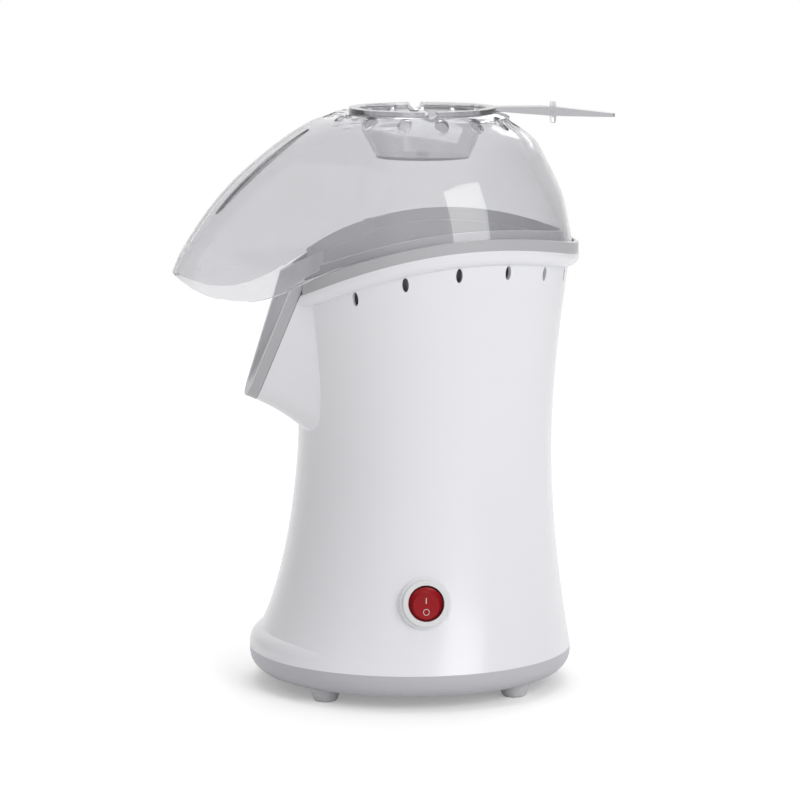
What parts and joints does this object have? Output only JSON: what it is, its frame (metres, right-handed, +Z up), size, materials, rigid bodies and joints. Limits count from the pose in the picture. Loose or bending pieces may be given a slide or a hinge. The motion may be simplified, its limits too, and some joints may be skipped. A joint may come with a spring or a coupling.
{
  "type": "hot air popcorn maker",
  "caption": "Waisted hot-air popcorn maker with a clear visored dome, a lift-out measuring cup, a front spout and a round rocker switch.",
  "frame": {"origin": "centre of the base circle, on the plane of the feet's soles", "axes": "+Z up; -X towards the spout, +X towards the cup's handle; -Y towards the switch, +Y towards the cord gland"},
  "size_m": [0.2298, 0.168, 0.3027],
  "materials": {
    "casing_white": "glossy moulded plastic",
    "pan_grey": "satin moulded plastic",
    "trim_grey": "satin moulded plastic",
    "dome_clear": "clear polished plastic",
    "cup_clear": "clear polished plastic",
    "foot_rubber": "matt rubber",
    "switch_shell": "glossy moulded plastic",
    "rocker_red": "glossy translucent red plastic",
    "inner_plastic": "black moulded plastic",
    "copper_brass": "bare brass",
    "fastener_steel": "zinc plated",
    "chamber_aluminium": "drawn bright aluminium",
    "gasket_rubber": "silicone",
    "duct_steel": "galvanised sheet",
    "mica": "mica sheet",
    "coil_wire": "oxidised resistance wire",
    "motor_steel": "plated steel",
    "magnet": "sintered ferrite and carbon",
    "fan_plastic": "black moulded plastic",
    "board": "bare laminate",
    "block_plastic": "cream moulded plastic",
    "gland_grey": "grey moulded plastic"
  },
  "bodies": {
    "base": {"air_duct": "duct_steel", "base_pan": "pan_grey", "base_screws": "fastener_steel", "bracket_screws": "fastener_steel", "casing": "casing_white", "chamber_gasket": "gasket_rubber", "chute": "trim_grey", "collar": "trim_grey", "cord_gland": "gland_grey", "dropper_coil": "coil_wire", "foot_1": "foot_rubber", "foot_2": "foot_rubber", "foot_3": "foot_rubber", "foot_4": "foot_rubber", "gland_nut": "gland_grey", "heater_coil": "coil_wire", "heater_plate": "duct_steel", "mica_board_cross": "mica", "mica_board_long": "mica", "motor_bracket": "duct_steel", "motor_brushes": "magnet", "motor_can": "motor_steel", "motor_end_cap": "inner_plastic", "motor_magnets": "magnet", "motor_screws": "fastener_steel", "popping_chamber": "chamber_aluminium", "rectifier_board": "board", "rectifier_diodes": "inner_plastic", "switch_body": "switch_shell", "switch_terminals": "copper_brass", "terminal_block": "block_plastic", "terminal_screws": "fastener_steel", "thermal_fuse": "duct_steel", "thermostat": "inner_plastic", "thermostat_tabs": "copper_brass"},
    "lid": {"dome": "dome_clear"},
    "cup": {"measuring_cup": "cup_clear"},
    "rocker": {"rocker": "rocker_red", "switch_plunger": "inner_plastic"},
    "lever": {"contact_lever": "copper_brass"},
    "rotor": {"motor_shaft": "motor_steel", "motor_armature": "motor_steel", "commutator": "copper_brass", "fan": "fan_plastic"}
  },
  "joints": [
    {"name": "lid_lift", "type": "slide", "parent": "base", "child": "lid", "axis": [0, 0, 1], "range_m": [0, 0.12]},
    {"name": "cup_lift", "type": "slide", "parent": "lid", "child": "cup", "axis": [0, 0, 1], "range_m": [0, 0.1]},
    {"name": "rocker_tilt", "type": "hinge", "parent": "base", "child": "rocker", "pos_m": [0, -0.07408, 0.05448], "axis": [-1, 0, 0], "range_deg": [0, 16]},
    {"name": "lever_tilt", "type": "hinge", "parent": "base", "child": "lever", "pos_m": [0, -0.06643, 0.05295], "axis": [-1, 0, 0], "range_deg": [-10, 0]},
    {"name": "rotor_spin", "type": "hinge", "parent": "base", "child": "rotor", "pos_m": [0.008, 0, 0.03], "axis": [0, 0, 1], "continuous": true}
  ],
  "couplings": [
    {"joint": "lever_tilt", "follows": "rocker_tilt", "ratio": -0.625}
  ]
}
